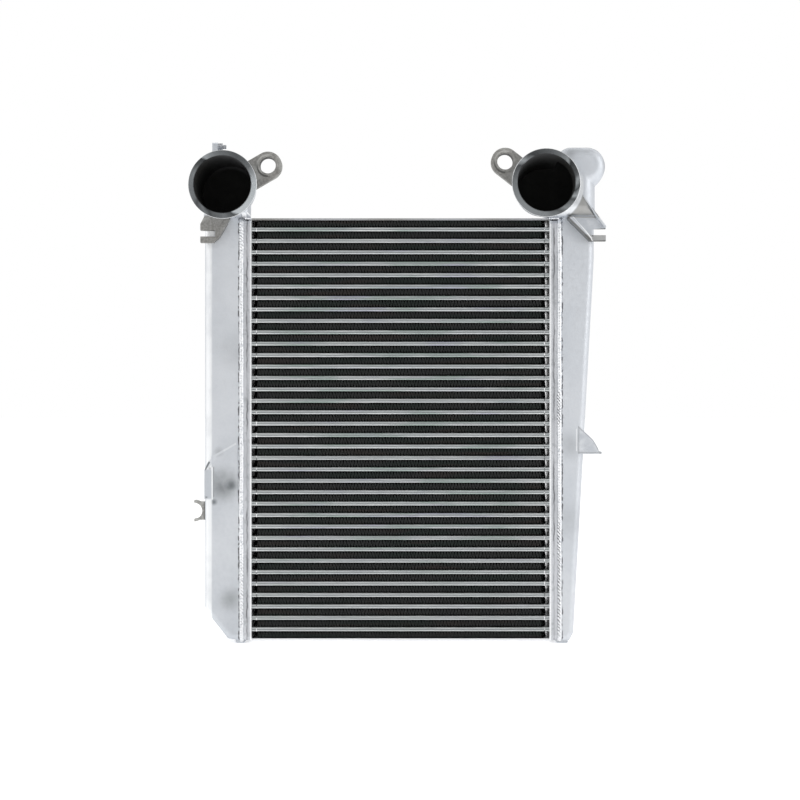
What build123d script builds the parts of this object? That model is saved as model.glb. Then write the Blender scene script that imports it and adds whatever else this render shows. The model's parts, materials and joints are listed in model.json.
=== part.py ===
from build123d import *
import os
from math import cos, radians, sin, sqrt

# Charge air cooler (intercooler) for a heavy engine, in millimetres.
# Frame: +Z up, air ports face -Y, X across the core. The origin is at the middle of
# the overall box, on the floor. Places below are measured from the middle of the core
# across X and Y and from the floor; centred() moves the finished parts to the origin.

# ---- core: flat tubes with corrugated fin packs between them ----
tube_count = 36
tube_height = 7.0
tube_depth = 64.0
tube_nose = 2.2
tube_wall = 1.2
tube_reach = 3.0
fin_height = 10.0
fin_depth = 61.0
fin_front_gap = 10.5
fin_back_gap = 1.5
fin_step = 14.0
core_width = 442.0
core_bottom = 7.0

# ---- side plates: folded channels that close the core above and below ----
side_plate_sheet = 1.6
side_plate_lip = 3.0

# ---- headers: slotted plates with a rim that the tanks are welded to ----
header_plate = 3.5
header_depth = 80.0
header_length = 15.0
header_overhang = 3.0
header_corner = 9.0
rim_wall = 3.5
rim_step = 0.8
braze_gap = 0.1

# ---- tanks: cast boxes along the sides of the core, sized from their seams ----
tank_wall = 4.0
tank_edge_radius = 9.0
seam_margin = 0.5
left_tank_width = 54.6
left_corner_run = 34.0
left_corner_height = 46.0
left_corner_radius = 18.0
left_bottom_rise = 3.0
right_tank_top_width = 51.5
right_tank_foot_width = 21.0
right_taper_drop = 61.0
right_foot_chamfer = 6.5
right_foot_rise = 12.0

# ---- air ports: round necks with a bead for a hose, outboard of the core's top ----
port_bore = 84.0
neck_wall = 3.0
bead_height = 5.0
bead_length = 9.0
bead_heel = 3.6
lip_land = 0.8
lip_depth = 3.0
port_reach = 46.0
left_port_offset = 23.5
left_port_sink = 2.4
right_port_offset = 23.5
right_port_clearance = 0.1

# ---- elbows: hoods that turn each tank forward into its neck ----
elbow_reach = 20.0
left_elbow_edge_radius = 12.0
right_elbow_edge_radius = 17.0
elbow_back_bevel = 6.0
elbow_step = 1.4
elbow_front_wall = 10.0
hood_reach = 15.0
shoulder_offset = 38.6
shoulder_rise = 29.0
shoulder_radius = 31.2
shoulder_inner_inset = 8.0
shoulder_inner_radius = 24.0

# ---- weld beads between headers and tanks ----
weld_width = 7.5
weld_height = 2.2
weld_bevel = 2.0

# ---- lifting and fixing eyes, placed from the round of their elbows ----
eye_bore = 23.4
eye_radius = 20.6
eye_boss_radius = 15.8
eye_boss_height = 1.5
eye_thickness = 13.0
eye_setback = 30.0
left_eye_reach = 24.9
left_eye_bearing = 25.8
left_eye_turn = 210.0
right_eye_reach = 21.3
right_eye_bearing = 149.6
right_eye_turn = -38.0

# ---- fork brackets: open slots for the upper fixing bolts, below the necks ----
fork_slot = 9.2
fork_prong = 9.0
left_fork_drop = 22.0
left_fork_reach = 4.8
left_fork_slot_length = 22.0
left_fork_shoulder = 5.6
left_fork_shoulder_rise = 24.8
left_fork_slope = 11.0
left_fork_top_rise = 42.4
left_fork_heel = 19.8
left_fork_heel_rise = 7.9
left_fork_heel_run = 9.0
left_fork_root = 43.4
left_fork_root_rise = 20.9
left_fork_thickness = 12.0
left_fork_rib = 6.0
left_fork_rib_height = 3.0
right_fork_drop = 22.1
right_fork_reach = 15.9
right_fork_slot_length = 20.9
right_fork_heel = 24.1
right_fork_root = 56.4
right_fork_root_rise = 18.3
right_fork_top = 33.3
right_fork_top_rise = 52.7
right_fork_thickness = 8.0
right_fork_rib = 7.0
right_fork_rib_height = 7.0
right_fork_lip = 3.0

# ---- mounting pad cast on the front corner of the left tank ----
pad_width = 11.0
pad_rise = 211.0
pad_height = 43.0
pad_slope = 23.0
pad_proud = 2.4
land_width = 38.0
land_rise = 16.0
land_proud = 1.0

# ---- half-round pipe saddle on the side of the left tank ----
saddle_standoff = 19.2
saddle_rise = 191.3
saddle_bore = 24.0
saddle_wall = 4.0
saddle_depth = 16.0
saddle_base = 27.0

# ---- gusseted shelf bracket on the side of the right tank ----
shelf_rise = 277.7
shelf_reach = 26.7
shelf_root = 7.8
shelf_thickness = 3.5
shelf_depth = 72.0
gusset_height = 41.8
gusset_bow = 3.0
gusset_thickness = 5.0

# ---- feet under the two seams ----
foot_depth = 60.0
foot_edge = 1.5
left_foot_offset = 2.3
left_foot_width = 14.6
right_foot_offset = 4.3
right_foot_width = 17.5

# ---- stud lug on top of the left neck ----
lug_offset = 12.5
lug_setback = 24.0
lug_width = 8.0
lug_depth = 11.0
lug_height = 18.5
lug_sink = 4.0
lug_round = 3.3
stud_diameter = 6.0
stud_reach = 12.0
stud_drop = 6.0
nut_flats = 9.6
nut_height = 6.7
thread_gap = 0.1

# ---- derived places ----
pitch = tube_height + fin_height
core_height = (tube_count + 1) * fin_height + tube_count * tube_height
core_top = core_bottom + core_height
half_width = core_width / 2
header_bottom = core_bottom - header_overhang
header_top = core_top + header_overhang
header_middle = (header_bottom + header_top) / 2
seam_x = half_width + header_length
front_y = -header_depth / 2
back_y = header_depth / 2
left_wall_x = -seam_x - left_tank_width
right_top_x = seam_x + right_tank_top_width
right_foot_x = seam_x + right_tank_foot_width
right_taper_bottom = header_bottom + right_foot_rise
right_taper_top = header_top - right_taper_drop
neck_radius = port_bore / 2 + neck_wall
bead_radius = neck_radius + bead_height
elbow_radius = neck_radius + elbow_step
elbow_front_y = front_y - elbow_reach
port_face_y = front_y - port_reach
left_port_x = -seam_x - left_port_offset
left_port_z = header_top + elbow_radius - left_port_sink
right_port_x = seam_x - right_port_offset
right_port_z = header_top + elbow_radius + right_port_clearance
shoulder_x = seam_x + shoulder_offset
shoulder_z = right_port_z + shoulder_rise
eye_front_y = port_face_y + eye_setback
left_fork_slot_z = left_port_z - elbow_radius - left_fork_drop
left_fork_tip_x = left_wall_x - left_fork_reach
right_fork_slot_z = right_port_z - elbow_radius - right_fork_drop
right_fork_tip_x = right_top_x + right_fork_reach
saddle_x = left_wall_x - saddle_standoff
saddle_z = header_bottom + saddle_rise
shelf_z = header_bottom + shelf_rise
lug_x = left_port_x - lug_offset
lug_y = port_face_y + lug_setback
lug_top = left_port_z + neck_radius + lug_height


def section_plane(x, z):
    """A plane across the core: local x is Y, local y is Z, its normal is +X."""
    return Plane(origin=(x, 0, z), x_dir=(0, 1, 0), z_dir=(1, 0, 0))


def front_slab(face, y_front, y_back):
    """Extrude a face drawn in X and Z between two depths."""
    return extrude(Plane.XZ.offset(-y_back) * face, amount=y_back - y_front)


def bar(x, y, z):
    """A box from three (low, high) pairs."""
    size = [high - low for low, high in (x, y, z)]
    middle = [(high + low) / 2 for low, high in (x, y, z)]
    return Pos(*middle) * Box(*size)


def nosed_section(depth, height):
    """Flat bar section whose front and back edges are drawn down to a narrow nose."""
    half_depth = depth / 2
    half_height = height / 2
    shoulder = half_depth - tube_nose
    tip = half_height - tube_nose
    return Polygon(
        (-shoulder, -half_height),
        (shoulder, -half_height),
        (half_depth, -tip),
        (half_depth, tip),
        (shoulder, half_height),
        (-shoulder, half_height),
        (-half_depth, tip),
        (-half_depth, -tip),
        align=None,
    )


def tube():
    """Flat hollow tube with drawn-down noses, long enough to stand through both headers."""
    hollow = Rectangle(tube_depth - 2 * (tube_nose + tube_wall), tube_height - 2 * tube_wall)
    section = nosed_section(tube_depth, tube_height) - hollow
    reach = half_width + header_plate + tube_reach
    return extrude(section_plane(-reach, 0) * section, amount=2 * reach)


def tube_heights():
    """Middle height of every tube, from the bottom up."""
    first = core_bottom + fin_height + tube_height / 2
    return [first + number * pitch for number in range(tube_count)]


def fin_packs():
    """The outer form of the corrugated fin rows, each stepped in at its two front ends."""
    half = fin_depth / 2
    up = (-fin_height / 2, fin_height / 2)
    whole_x = half_width - fin_front_gap
    back_x = half_width - fin_back_gap
    row = bar((-whole_x, whole_x), (-half, half), up) + bar((-back_x, back_x), (fin_step - half, half), up)
    first = core_bottom + fin_height / 2
    return Compound([Pos(0, 0, first + number * pitch) * row for number in range(tube_count + 1)])


def side_plate(inner_z, outward):
    """Folded channel: a web on the fins and a lip along its front and back."""
    web_z = sorted((inner_z, inner_z + outward * side_plate_sheet))
    lip_z = sorted((inner_z, inner_z + outward * side_plate_lip))
    x = (-half_width, half_width)
    half = tube_depth / 2
    web = bar(x, (-half, half), web_z)
    front_lip = bar(x, (-half, -half + side_plate_sheet), lip_z)
    back_lip = bar(x, (half - side_plate_sheet, half), lip_z)
    return web + front_lip + back_lip


def header(side):
    """Slotted plate with a rim, side is -1 on the left and +1 on the right."""
    height = header_top - header_bottom
    plate = RectangleRounded(header_depth, height, header_corner)
    slot = nosed_section(tube_depth + 2 * braze_gap, tube_height + 2 * braze_gap)
    for z in tube_heights():
        plate -= Pos(0, z - header_middle) * slot
    rim_depth = header_depth - 2 * rim_step
    rim_height = height - 2 * rim_step
    rim = RectangleRounded(rim_depth, rim_height, header_corner - rim_step)
    inner_corner = header_corner - rim_step - rim_wall
    rim -= RectangleRounded(rim_depth - 2 * rim_wall, rim_height - 2 * rim_wall, inner_corner)
    place = section_plane(side * half_width, header_middle)
    body = extrude(place * plate, amount=side * header_plate)
    return body + extrude(place * rim, amount=side * header_length)


def outer_edges(box, side):
    """Edges of the front and back face of a tank box, without those at its open seam."""
    caps = box.faces().sort_by(Axis.Y)
    edges = caps[0].edges() + caps[-1].edges()
    return [edge for edge in edges if side * edge.center().X > seam_x + seam_margin]


def ease_edges(body_edges, radius, inset):
    """Round an outer edge; bevel the cavity's edge so that the wall stays even."""
    if inset == 0:
        return fillet(body_edges, radius)
    return chamfer(body_edges, (radius - inset) * (2 - sqrt(2)))


def left_column(inset):
    """Box part of the left tank; inset moves its walls inwards."""
    outer_x = left_wall_x + inset
    bottom = header_bottom + inset
    outline = Polygon(
        (-seam_x, bottom),
        (-seam_x, header_top - inset),
        (-seam_x - hood_reach, left_port_z),
        (outer_x, left_port_z),
        (outer_x, bottom + left_corner_height),
        (outer_x + left_corner_run, bottom + left_bottom_rise),
        align=None,
    )
    corner = outline.vertices().group_by(Axis.X)[0].sort_by(Axis.Y)[0]
    outline = fillet(corner, left_corner_radius - inset)
    box = front_slab(outline, front_y + inset, back_y - inset)
    return ease_edges(outer_edges(box, -1), tank_edge_radius, inset)


def right_column(inset):
    """Box part of the right tank, which tapers towards its foot."""
    top_x = right_top_x - inset
    foot_x = right_foot_x - inset
    bottom = header_bottom + inset
    outline = Polygon(
        (seam_x, bottom),
        (foot_x - right_foot_chamfer, bottom),
        (foot_x, right_taper_bottom + inset),
        (top_x, right_taper_top),
        (top_x, right_port_z),
        (seam_x + hood_reach, right_port_z),
        (seam_x, header_top - inset),
        align=None,
    )
    box = front_slab(outline, front_y + inset, back_y - inset)
    return ease_edges(outer_edges(box, 1), tank_edge_radius, inset)


def left_elbow(inset):
    """Rounded hood that turns the left tank forward into its neck."""
    outer_x = left_wall_x + inset
    inner_x = -seam_x + hood_reach - inset
    hood = Polygon(
        (outer_x, header_top + inset),
        (inner_x, header_top + inset),
        (inner_x, left_port_z),
        (outer_x, left_port_z),
        align=None,
    )
    outline = hood + Pos(left_port_x, left_port_z) * Circle(elbow_radius - inset)
    return elbow_slab(outline, left_elbow_edge_radius, inset)


def right_elbow(inset):
    """Rounded shoulder that turns the right tank sideways and forward into its neck."""
    radius = shoulder_radius - inset
    top_z = shoulder_z + radius
    outer_x = right_top_x - inset
    kink_z = shoulder_z - sqrt(radius**2 - (outer_x - shoulder_x) ** 2)
    corner = shoulder_inner_radius - inset
    corner_x = seam_x - shoulder_inner_inset + shoulder_inner_radius
    web = Polygon(
        (corner_x - corner, top_z - corner),
        (right_port_x, right_port_z - elbow_radius + inset),
        (seam_x, header_top + inset),
        (outer_x, header_top + inset),
        (outer_x, kink_z),
        (shoulder_x, shoulder_z),
        (shoulder_x, top_z),
        (corner_x, top_z),
        align=None,
    )
    inner = Pos(corner_x, top_z - corner) * Circle(corner)
    shoulder = Pos(shoulder_x, shoulder_z) * Circle(radius)
    neck = Pos(right_port_x, right_port_z) * Circle(elbow_radius - inset)
    return elbow_slab(web + inner + shoulder + neck, right_elbow_edge_radius, inset)


def elbow_slab(outline, edge_radius, inset):
    """Slab from the elbow's front to the tank's back; outside its edges are eased."""
    if inset > 0:
        return front_slab(outline, elbow_front_y + elbow_front_wall, back_y - inset)
    slab = front_slab(outline, elbow_front_y, back_y)
    slab = fillet(slab.faces().sort_by(Axis.Y)[0].edges(), edge_radius)
    return chamfer(slab.faces().sort_by(Axis.Y)[-1].edges(), elbow_back_bevel)


def neck(x, z):
    """Turned outside of a port: a bead with a coned lip, the neck, and its collar."""
    heel_y = port_face_y + bead_length
    profile = Polygon(
        (0, port_face_y),
        (port_bore / 2 + lip_land, port_face_y),
        (bead_radius, port_face_y + lip_depth),
        (bead_radius, heel_y - bead_heel),
        (neck_radius, heel_y),
        (neck_radius, elbow_front_y),
        (elbow_radius, elbow_front_y),
        (elbow_radius, front_y),
        (0, front_y),
        align=None,
    )
    return Pos(x, 0, z) * revolve(profile, Axis.Y)


def bore(x, z):
    """Air passage through a neck into its elbow."""
    circle = Pos(x, z) * Circle(port_bore / 2)
    return front_slab(circle, port_face_y, front_y)


def left_form():
    """The left casting as if it were solid: what its brackets are seated on."""
    return left_column(0) + left_elbow(0) + neck(left_port_x, left_port_z)


def right_form():
    """The right casting as if it were solid."""
    return right_column(0) + right_elbow(0) + neck(right_port_x, right_port_z)


def mounting_pad():
    """Squared pad on the tank's rounded corner, with the low land beside it."""
    outer_x = left_wall_x
    inner_x = outer_x + pad_width
    pad_bottom = header_bottom + pad_rise
    top = pad_bottom + pad_height
    pad = Polygon(
        (outer_x, pad_bottom),
        (inner_x, pad_bottom),
        (inner_x, top + pad_slope),
        (outer_x, top),
        align=None,
    )
    land = Polygon(
        (inner_x, pad_bottom),
        (inner_x + land_width, pad_bottom),
        (inner_x + land_width, top + pad_slope + land_rise),
        (inner_x, top + pad_slope),
        align=None,
    )
    inside_y = front_y + 2 * tank_edge_radius
    return front_slab(pad, front_y - pad_proud, inside_y) + front_slab(land, front_y - land_proud, front_y)


def left_tank():
    """Left casting: column, elbow, neck and pad, hollow and open at the seam."""
    cavity = left_column(tank_wall) + left_elbow(tank_wall) + bore(left_port_x, left_port_z)
    return left_form() + mounting_pad() - cavity


def right_tank():
    """Right casting: tapered column, shouldered elbow and neck, open at the seam."""
    cavity = right_column(tank_wall) + right_elbow(tank_wall) + bore(right_port_x, right_port_z)
    return right_form() - cavity


def weld_bead(side, tank_part, header_part):
    """Rounded bead that lies over the joint between a header rim and its tank."""
    height = header_top - header_bottom
    grown = 2 * weld_height
    band = RectangleRounded(header_depth + grown, height + grown, header_corner + weld_height)
    rim_depth = header_depth - 2 * rim_step
    core = RectangleRounded(rim_depth, height - 2 * rim_step, header_corner - rim_step)
    near_x = side * seam_x - weld_width / 2
    place = section_plane(near_x, header_middle)
    bead = extrude(place * band, amount=weld_width)
    loops = bead.faces().sort_by(Axis.X)[0].edges() + bead.faces().sort_by(Axis.X)[-1].edges()
    bead = chamfer(loops, weld_bevel)
    bead = bead - extrude(place * core, amount=weld_width) - header_part - tank_part
    return bead.solids().sort_by(SortBy.VOLUME)[-1]


def eye_lug(port_x, port_z, reach, bearing, turn):
    """Flat lug with a bossed bore, its root cut to fit the round collar of the neck."""
    away = elbow_radius + reach
    x = port_x + away * cos(radians(bearing))
    z = port_z + away * sin(radians(bearing))
    root = Pos(away / 2, 0) * Rectangle(away, 2 * eye_radius)
    outline = Pos(x, z) * Rot(0, 0, turn) * (Circle(eye_radius) + root)
    outline -= Pos(port_x, port_z) * Circle(elbow_radius)
    plate = front_slab(outline, eye_front_y, eye_front_y + eye_thickness)
    boss = front_slab(Pos(x, z) * Circle(eye_boss_radius), eye_front_y - eye_boss_height, eye_front_y)
    hole = Pos(x, z) * Circle(eye_bore / 2)
    through = front_slab(hole, eye_front_y - eye_boss_height, eye_front_y + eye_thickness)
    return plate + boss - through


def left_eye():
    """Eye lug that stands up and inwards from the left neck."""
    return eye_lug(left_port_x, left_port_z, left_eye_reach, left_eye_bearing, left_eye_turn)


def right_eye():
    """Eye lug that stands up and inwards from the right neck."""
    return eye_lug(right_port_x, right_port_z, right_eye_reach, right_eye_bearing, right_eye_turn)


def strip(start, end, width):
    """Flat strip of a given width on the left of the line from start to end."""
    run = Vector(*end) - Vector(*start)
    side = Vector(-run.Y, run.X).normalized() * width
    corners = [Vector(*start), Vector(*end), Vector(*end) + side, Vector(*start) + side]
    return make_face(Polyline(*corners, close=True))


def left_fork(form):
    """Slotted bracket below the left neck, ribbed along its inner edge."""
    tip_x = left_fork_tip_x
    low = left_fork_slot_z - fork_slot / 2 - fork_prong
    top = left_fork_slot_z + left_fork_top_rise
    shoulder_top = left_fork_slot_z + left_fork_shoulder_rise
    heel = (tip_x + left_fork_heel + left_fork_heel_run, low + left_fork_heel_rise)
    root = (tip_x + left_fork_root, left_fork_slot_z + left_fork_root_rise)
    outline = Polygon(
        (tip_x, low),
        (tip_x + left_fork_heel, low),
        heel,
        root,
        (tip_x + left_fork_root, top),
        (tip_x + left_fork_shoulder, top),
        (tip_x + left_fork_shoulder, shoulder_top),
        (tip_x, shoulder_top - left_fork_slope),
        align=None,
    )
    slot_place = Pos(tip_x + left_fork_slot_length / 2, left_fork_slot_z)
    slot = slot_place * Rectangle(left_fork_slot_length, fork_slot)
    plate_front = front_y - left_fork_thickness
    plate = front_slab(outline - slot, plate_front, front_y)
    rib = front_slab(strip(heel, root, left_fork_rib), plate_front - left_fork_rib_height, plate_front)
    return plate + rib - form


def right_fork(form):
    """Slotted bracket below the right neck, with a heavy rib and a thin lip."""
    tip_x = right_fork_tip_x
    heel = (tip_x - right_fork_heel, right_fork_slot_z - fork_slot / 2 - fork_prong)
    root = (tip_x - right_fork_root, right_fork_slot_z + right_fork_root_rise)
    high = (tip_x - right_fork_top, right_fork_slot_z + right_fork_top_rise)
    tip = (tip_x, right_fork_slot_z + fork_slot / 2 + right_fork_lip)
    outline = Polygon(
        root,
        heel,
        (tip_x, heel[1]),
        tip,
        high,
        (root[0], high[1]),
        align=None,
    )
    slot_place = Pos(tip_x - right_fork_slot_length / 2, right_fork_slot_z)
    slot = slot_place * Rectangle(right_fork_slot_length, fork_slot)
    plate_front = front_y - right_fork_thickness
    plate = front_slab(outline - slot, plate_front, front_y)
    rib_front = plate_front - right_fork_rib_height
    rib = front_slab(strip(root, heel, right_fork_rib), rib_front, plate_front)
    lip = front_slab(strip(tip, high, right_fork_lip), rib_front, plate_front)
    return plate + rib + lip - form


def pipe_saddle(form):
    """Half-round seat for a pipe, standing on the side of the left tank."""
    radius = saddle_bore / 2
    ring = Pos(saddle_x, saddle_z) * (Circle(radius + saddle_wall) - Circle(radius))
    open_half = Pos(saddle_x - saddle_bore, saddle_z) * Rectangle(2 * saddle_bore, 2 * saddle_bore)
    base_x = (saddle_x + radius + left_wall_x) / 2
    base_width = left_wall_x - saddle_x - radius + 2 * saddle_wall
    base = Pos(base_x, saddle_z) * Rectangle(base_width, saddle_base)
    hole = Pos(saddle_x, saddle_z) * Circle(radius)
    outline = ring - open_half + base - hole
    half = saddle_depth / 2
    return front_slab(outline, -half, half) - form


def shelf_bracket(form):
    """Shelf on the sloping side of the right tank, carried by a gusset at each end."""
    slope = (right_top_x - right_foot_x) / (right_taper_top - right_taper_bottom)
    wall_x = right_foot_x + slope * (shelf_z - right_taper_bottom)
    root_x = wall_x - shelf_root
    toe_x = wall_x + shelf_reach
    half = shelf_depth / 2
    top = shelf_z + shelf_thickness
    shelf = bar((root_x, toe_x), (-half, half), (shelf_z, top))
    apex = (root_x, shelf_z + gusset_height)
    toe = (toe_x, top)
    middle = Vector((apex[0] + toe[0]) / 2, (apex[1] + toe[1]) / 2)
    outward = Vector(apex[1] - toe[1], toe[0] - apex[0]).normalized()
    bow = middle + outward * gusset_bow
    corner = (root_x, top)
    edge = [Line(corner, toe), ThreePointArc(toe, bow, apex), Line(apex, corner)]
    face = make_face(edge)
    front = front_slab(face, -half, -half + gusset_thickness)
    back = front_slab(face, half - gusset_thickness, half)
    return shelf + front + back - form


def foot(x, width, *carriers):
    """Pad under a seam, as deep as the core, that the cooler stands on."""
    half = foot_depth / 2
    block = bar((x - width / 2, x + width / 2), (-half, half), (0, header_bottom + header_corner))
    block = chamfer(block.faces().sort_by(Axis.Z)[0].edges(), foot_edge)
    for carrier in carriers:
        block -= carrier
    return block.solids().sort_by(Axis.Z)[0]


def stud_axis(x):
    """Plane across the stud at a given place along it."""
    return Plane(origin=(x, lug_y, lug_top - stud_drop), x_dir=(0, 1, 0), z_dir=(1, 0, 0))


def stud_lug(form):
    """Small upright lug on the neck, drilled for the stud."""
    low = left_port_z + neck_radius - lug_sink
    half = lug_depth / 2
    block = bar((lug_x - lug_width / 2, lug_x + lug_width / 2), (lug_y - half, lug_y + half), (low, lug_top))
    top = block.faces().sort_by(Axis.Z)[-1].edges().filter_by(Axis.X)
    block = fillet(top, lug_round)
    hole = Circle(stud_diameter / 2 + thread_gap)
    return block - extrude(stud_axis(lug_x - lug_width / 2) * hole, amount=lug_width) - form


def stud():
    """Threaded stud through the lug, drawn at its outer diameter."""
    length = lug_width + stud_reach
    return extrude(stud_axis(lug_x - lug_width / 2) * Circle(stud_diameter / 2), amount=length)


def nut():
    """Hexagon nut that holds the stud against the lug."""
    hexagon = RegularPolygon(nut_flats / 2, 6, major_radius=False)
    section = hexagon - Circle(stud_diameter / 2 + thread_gap)
    return extrude(stud_axis(lug_x + lug_width / 2) * section, amount=nut_height)


def build():
    """Every sub-part by name."""
    left_solid = left_form()
    right_solid = right_form()
    parts = {
        "left_tank": left_tank(),
        "right_tank": right_tank(),
        "left_header": header(-1),
        "right_header": header(1),
        "fin_packs": fin_packs(),
        "top_side_plate": side_plate(core_top, 1),
        "bottom_side_plate": side_plate(core_bottom, -1),
        "left_eye_lug": left_eye(),
        "right_eye_lug": right_eye(),
        "left_fork_bracket": left_fork(left_solid),
        "right_fork_bracket": right_fork(right_solid),
        "pipe_saddle": pipe_saddle(left_solid),
        "shelf_bracket": shelf_bracket(right_solid),
        "stud_lug": stud_lug(left_solid),
        "stud": stud(),
        "flange_nut": nut(),
    }
    parts["left_weld_bead"] = weld_bead(-1, parts["left_tank"], parts["left_header"])
    parts["right_weld_bead"] = weld_bead(1, parts["right_tank"], parts["right_header"])
    left_seat = (left_solid, parts["left_header"], parts["left_weld_bead"])
    right_seat = (right_solid, parts["right_header"], parts["right_weld_bead"])
    parts["left_foot"] = foot(-seam_x - left_foot_offset, left_foot_width, *left_seat)
    parts["right_foot"] = foot(seam_x + right_foot_offset, right_foot_width, *right_seat)
    pattern = tube()
    for number, z in enumerate(tube_heights(), start=1):
        parts[f"tube_{number:02d}"] = Pos(0, 0, z) * pattern
    return parts


def centred(parts):
    """The same parts, moved so that the origin is under the middle of the whole."""
    box = Compound(list(parts.values())).bounding_box()
    shift = Pos(-(box.min.X + box.max.X) / 2, -(box.min.Y + box.max.Y) / 2, -box.min.Z)
    return {name: shift * shape for name, shape in parts.items()}


os.makedirs("parts", exist_ok=True)
for name, shape in centred(build()).items():
    export_step(shape, f"parts/{name}.step")
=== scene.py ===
import json
import math
from dataclasses import dataclass

import bpy
import numpy as np
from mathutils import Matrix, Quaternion, Vector
from mathutils.bvhtree import BVHTree


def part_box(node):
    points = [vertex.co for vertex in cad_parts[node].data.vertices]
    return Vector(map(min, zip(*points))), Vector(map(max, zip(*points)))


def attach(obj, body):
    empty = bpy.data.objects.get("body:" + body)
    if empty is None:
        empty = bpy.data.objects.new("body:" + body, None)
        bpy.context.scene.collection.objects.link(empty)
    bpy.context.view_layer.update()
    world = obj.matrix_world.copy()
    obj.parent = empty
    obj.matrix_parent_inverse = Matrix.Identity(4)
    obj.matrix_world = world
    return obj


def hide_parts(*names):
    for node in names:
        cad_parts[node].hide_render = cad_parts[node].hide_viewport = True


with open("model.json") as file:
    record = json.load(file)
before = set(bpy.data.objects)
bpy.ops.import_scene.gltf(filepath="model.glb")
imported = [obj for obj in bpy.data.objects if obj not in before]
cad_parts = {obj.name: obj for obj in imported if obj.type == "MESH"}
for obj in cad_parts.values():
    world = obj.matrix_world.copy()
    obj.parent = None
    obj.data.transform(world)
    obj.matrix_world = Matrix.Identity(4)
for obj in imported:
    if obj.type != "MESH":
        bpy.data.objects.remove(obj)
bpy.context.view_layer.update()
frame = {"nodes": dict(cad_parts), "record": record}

# ---- sizes from the frame, in metres ----
sides = ("left", "right")
toward_core = {"left": 1, "right": -1}
mounts = {mount["name"]: mount for mount in frame["record"]["mounts"]}
ports = {side: Vector(mounts[f"{side}_air_port"]["pos_m"]) for side in sides}
eyes = {side: Vector(mounts[f"{side}_eye"]["pos_m"]) for side in sides}
bead_radius = mounts["left_air_port"]["dims"]["r_mm"] / 1000
eye_bore = mounts["left_eye"]["dims"]["r_mm"] / 1000
headers = {side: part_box(f"{side}_header") for side in sides}
welds = {side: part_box(f"{side}_weld_bead") for side in sides}
fins_low, fins_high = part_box("fin_packs")
tube_names = sorted(name for name in frame["nodes"] if name.startswith("tube_"))
tube_boxes = sorted((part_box(name) for name in tube_names), key=lambda box: box[0].z)
tube_low, tube_high = tube_boxes[0]
tube_height = tube_high.z - tube_low.z
tube_pitch = (tube_boxes[-1][0].z - tube_low.z) / (len(tube_boxes) - 1)
fin_height = tube_pitch - tube_height
core_left = headers["left"][1].x
core_right = headers["right"][0].x
core_middle = (core_left + core_right) / 2
core_front = tube_low.y
header_top = headers["left"][1].z
tank_front = headers["left"][0].y
tank_back = headers["left"][1].y
port_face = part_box("left_tank")[0].y
shoulder_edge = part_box("right_tank")[1].x
shoulder_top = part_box("right_tank")[1].z
fork_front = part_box("right_fork_bracket")[0].y

# ---- the photographer's view ----
photo_side_px = 800
photo_pitch_px = 11.43
camera_distance = 2.5
camera_sensor = 36.0
metre_per_px = tube_pitch / photo_pitch_px
camera_x = core_middle - 0.5 * metre_per_px
camera_z = 0.3617

# Radius of the air passage, and the depths at which an elbow and its side part begin.
port_bore = 0.042
elbow_front = port_face + 0.026
elbow_side_front = elbow_front + 0.017


def photo_point(px, py, y):
    """Point of the row frame at depth y that shows at a pixel of the photograph."""
    scale = metre_per_px * (camera_distance + y - core_front) / camera_distance
    half = photo_side_px / 2
    return Vector((camera_x + (px - half) * scale, y, camera_z + (half - py) * scale))


def on_tank(px, py):
    return photo_point(px, py, tank_front)


def on_elbow(px, py):
    return photo_point(px, py, elbow_front)


def on_fork(px, py):
    return photo_point(px, py, fork_front)


# ---- colours, as linear values ----
CAST = (0.55, 0.575, 0.61)
CAST_PALE = (0.66, 0.68, 0.71)
# grey for stains, and also for painted shade
CAST_SMUDGE_AND_SHADE = (0.34, 0.355, 0.37)
# painted shade grey for the hollow beside the left pad
CAST_HOLLOW_SHADE = (0.225, 0.238, 0.247)
CAST_WHITE = (0.93, 0.94, 0.95)
# painted shade grey for the darkest hollow and beside the pad's edges
CAST_DEEP_SHADE = (0.15, 0.165, 0.175)
SEAM_SHADE = (0.13, 0.13, 0.14)
ROUGH_CAST = (0.34, 0.335, 0.32)
ROUGH_CAST_DARK = (0.24, 0.235, 0.225)
ROUGH_CAST_PALE = (0.52, 0.52, 0.50)
ROUGH_CAST_SHADE = (0.12, 0.12, 0.115)
# painted shade on the wall of an eye's bore
EYE_WALL_SHADE = (0.035, 0.035, 0.035)
# painted shade inside the elbows, and the painted light at their mouths
BORE_SHADE = (0.032, 0.032, 0.031)
BORE_LIT = (0.12, 0.122, 0.125)
HEADER = (0.52, 0.535, 0.56)
HEADER_PALE = (0.64, 0.65, 0.68)
TUBE_SILVER = (0.56, 0.58, 0.59)
TUBE_GREEN = (0.38, 0.45, 0.42)
TUBE_VIOLET = (0.46, 0.46, 0.55)
TUBE_PALE = (0.66, 0.68, 0.68)
# painted shade greys for the tube's edges and midline
TUBE_EDGE = (0.14, 0.15, 0.15)
TUBE_MIDLINE = (0.25, 0.27, 0.275)
# fins: painted dark as shade, with green and brown tints
FIN_DARK_SHADE = (0.064, 0.066, 0.066)
FIN_GREEN = (0.052, 0.062, 0.058)
FIN_BROWN = (0.072, 0.065, 0.062)
# painted deeper shade among the fins
FIN_DEEP_SHADE = (0.010, 0.010, 0.010)
WELD = (0.86, 0.87, 0.89)
STEEL = (0.16, 0.17, 0.18)
FLOOR = (0.86, 0.86, 0.86)


def shaded(colour, factor):
    return tuple(factor * tone for tone in colour)


# ---- finishes ----
@dataclass
class Finish:
    """How rough a surface is, from smooth to rough, and the height of its grain in metres."""

    rough_scale: float
    smooth: float
    rough: float
    grain_scale: float
    grain_detail: float
    grain_height: float
    grain_strength: float
    rough_stretch: tuple = (1, 1, 1)
    grain_stretch: tuple = (1, 1, 1)


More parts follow.
